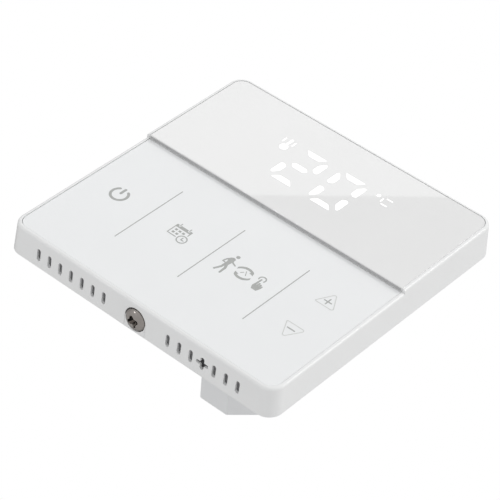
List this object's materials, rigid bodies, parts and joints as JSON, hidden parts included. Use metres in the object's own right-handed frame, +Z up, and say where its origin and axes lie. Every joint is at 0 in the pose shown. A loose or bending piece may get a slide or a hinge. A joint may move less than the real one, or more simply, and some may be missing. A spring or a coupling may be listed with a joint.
{
  "type": "wall thermostat",
  "caption": "Slim square wall thermostat with a touch front, a raised display strip and a housing for the wall box behind it.",
  "frame": {"origin": "middle of the two wall screw slots, in the plane of the wall, which is also the back rim of the front", "axes": "+X to the right seen from the room, +Z up on the wall, the front looks along -Y and the wall box lies along +Y"},
  "size_m": [0.0856, 0.0335, 0.0851],
  "materials": {
    "shell_plastic": "fine satin",
    "touch_plate": "satin",
    "display_plate": "high gloss",
    "light_white": "diffusing",
    "housing_plastic": "satin",
    "plated_steel": "zinc plated",
    "screw_steel": "nickel plated",
    "bright_brass": "turned",
    "board_green": "solder mask",
    "chip_black": "moulded",
    "shield_metal": "brushed",
    "connector_black": "moulded",
    "foam_grey": "matt",
    "sensor_epoxy": "dipped",
    "terminal_green": "moulded",
    "capacitor_yellow": "moulded",
    "capacitor_sleeve": "shrink sleeve",
    "varistor_blue": "dipped",
    "ferrite_grey": "sintered",
    "tape_yellow": "tape",
    "bobbin_nylon": "moulded",
    "copper_wire": "enamelled",
    "relay_blue": "moulded"
  },
  "bodies": {
    "base": {"clinch_nut": "bright_brass", "wall_plate": "plated_steel", "base_housing": "housing_plastic", "base_lid": "housing_plastic", "lid_screws": "plated_steel", "power_pcb": "board_green", "film_capacitor": "capacitor_yellow", "bridge_rectifier": "chip_black", "regulator_chip": "chip_black", "electrolytic_capacitors": "capacitor_sleeve", "fuse": "chip_black", "varistor": "varistor_blue", "transformer_core": "ferrite_grey", "transformer_winding": "tape_yellow", "transformer_bobbin": "bobbin_nylon", "pin_header": "connector_black", "terminal_block": "terminal_green", "contact_bars": "bright_brass", "relay_base": "relay_blue", "relay_cover": "relay_blue", "relay_yoke": "plated_steel", "relay_bobbin": "bobbin_nylon", "relay_winding": "copper_wire", "relay_contact": "bright_brass"},
    "front": {"front_shell": "shell_plastic", "touch_panel": "touch_plate", "display_lens": "display_plate", "light_diffuser": "light_white", "led_reflector": "light_white", "digit_light_guides": "light_white", "led_chips": "light_white", "display_pcb": "board_green", "touch_contact_pads": "foam_grey", "mcu_chip": "chip_black", "wifi_module": "board_green", "wifi_shield": "shield_metal", "buzzer": "chip_black", "board_socket": "connector_black", "room_sensor": "sensor_epoxy", "pcb_screws": "plated_steel"},
    "lock_washer_body": {"lock_washer": "plated_steel"},
    "lock_screw_body": {"lock_screw": "screw_steel"},
    "relay_armature_body": {"relay_armature": "plated_steel"},
    "terminal_cage_body_1": {"terminal_cage_1": "plated_steel"},
    "terminal_screw_body_1": {"terminal_screw_1": "plated_steel"},
    "terminal_cage_body_2": {"terminal_cage_2": "plated_steel"},
    "terminal_screw_body_2": {"terminal_screw_2": "plated_steel"},
    "terminal_cage_body_3": {"terminal_cage_3": "plated_steel"},
    "terminal_screw_body_3": {"terminal_screw_3": "plated_steel"},
    "terminal_cage_body_4": {"terminal_cage_4": "plated_steel"},
    "terminal_screw_body_4": {"terminal_screw_4": "plated_steel"},
    "terminal_cage_body_5": {"terminal_cage_5": "plated_steel"},
    "terminal_screw_body_5": {"terminal_screw_5": "plated_steel"},
    "terminal_cage_body_6": {"terminal_cage_6": "plated_steel"},
    "terminal_screw_body_6": {"terminal_screw_6": "plated_steel"}
  },
  "joints": [
    {"name": "front_tilt", "type": "hinge", "parent": "base", "child": "front", "pos_m": [0, -0.002, 0.04], "axis": [-1, 0, 0], "range_deg": [0, 18]},
    {"name": "lock_screw_travel", "type": "slide", "parent": "base", "child": "lock_washer_body", "axis": [0, 0, -1], "range_m": [0, 0.0015]},
    {"name": "lock_screw_turn", "type": "hinge", "parent": "lock_washer_body", "child": "lock_screw_body", "pos_m": [0, -0.0034, -0.0409], "axis": [0, 0, -1], "range_deg": [0, 1081]},
    {"name": "relay_pull", "type": "hinge", "parent": "base", "child": "relay_armature_body", "pos_m": [-0.007, 0.01698, -0.0125], "axis": [0, 0, 1], "range_deg": [0, 4], "stiffness_Nm_per_rad": 0.002, "springref_deg": -2.86},
    {"name": "terminal_turn_1", "type": "hinge", "parent": "base", "child": "terminal_screw_body_1", "pos_m": [-0.0155, 0.0205, 0.0142], "axis": [0, -1, 0], "range_deg": [0, 801]},
    {"name": "terminal_clamp_1", "type": "slide", "parent": "base", "child": "terminal_cage_body_1", "axis": [0, 1, 0], "range_m": [0, 0.001]},
    {"name": "terminal_turn_2", "type": "hinge", "parent": "base", "child": "terminal_screw_body_2", "pos_m": [-0.0093, 0.0205, 0.0142], "axis": [0, -1, 0], "range_deg": [0, 801]},
    {"name": "terminal_clamp_2", "type": "slide", "parent": "base", "child": "terminal_cage_body_2", "axis": [0, 1, 0], "range_m": [0, 0.001]},
    {"name": "terminal_turn_3", "type": "hinge", "parent": "base", "child": "terminal_screw_body_3", "pos_m": [-0.0031, 0.0205, 0.0142], "axis": [0, -1, 0], "range_deg": [0, 801]},
    {"name": "terminal_clamp_3", "type": "slide", "parent": "base", "child": "terminal_cage_body_3", "axis": [0, 1, 0], "range_m": [0, 0.001]},
    {"name": "terminal_turn_4", "type": "hinge", "parent": "base", "child": "terminal_screw_body_4", "pos_m": [0.0031, 0.0205, 0.0142], "axis": [0, -1, 0], "range_deg": [0, 801]},
    {"name": "terminal_clamp_4", "type": "slide", "parent": "base", "child": "terminal_cage_body_4", "axis": [0, 1, 0], "range_m": [0, 0.001]},
    {"name": "terminal_turn_5", "type": "hinge", "parent": "base", "child": "terminal_screw_body_5", "pos_m": [0.0093, 0.0205, 0.0142], "axis": [0, -1, 0], "range_deg": [0, 801]},
    {"name": "terminal_clamp_5", "type": "slide", "parent": "base", "child": "terminal_cage_body_5", "axis": [0, 1, 0], "range_m": [0, 0.001]},
    {"name": "terminal_turn_6", "type": "hinge", "parent": "base", "child": "terminal_screw_body_6", "pos_m": [0.0155, 0.0205, 0.0142], "axis": [0, -1, 0], "range_deg": [0, 801]},
    {"name": "terminal_clamp_6", "type": "slide", "parent": "base", "child": "terminal_cage_body_6", "axis": [0, 1, 0], "range_m": [0, 0.001]}
  ],
  "couplings": [
    {"joint": "lock_screw_turn", "follows": "lock_screw_travel", "rad_per_m": 12566},
    {"joint": "terminal_turn_1", "follows": "terminal_clamp_1", "rad_per_m": 13963},
    {"joint": "terminal_turn_2", "follows": "terminal_clamp_2", "rad_per_m": 13963},
    {"joint": "terminal_turn_3", "follows": "terminal_clamp_3", "rad_per_m": 13963},
    {"joint": "terminal_turn_4", "follows": "terminal_clamp_4", "rad_per_m": 13963},
    {"joint": "terminal_turn_5", "follows": "terminal_clamp_5", "rad_per_m": 13963},
    {"joint": "terminal_turn_6", "follows": "terminal_clamp_6", "rad_per_m": 13963}
  ]
}
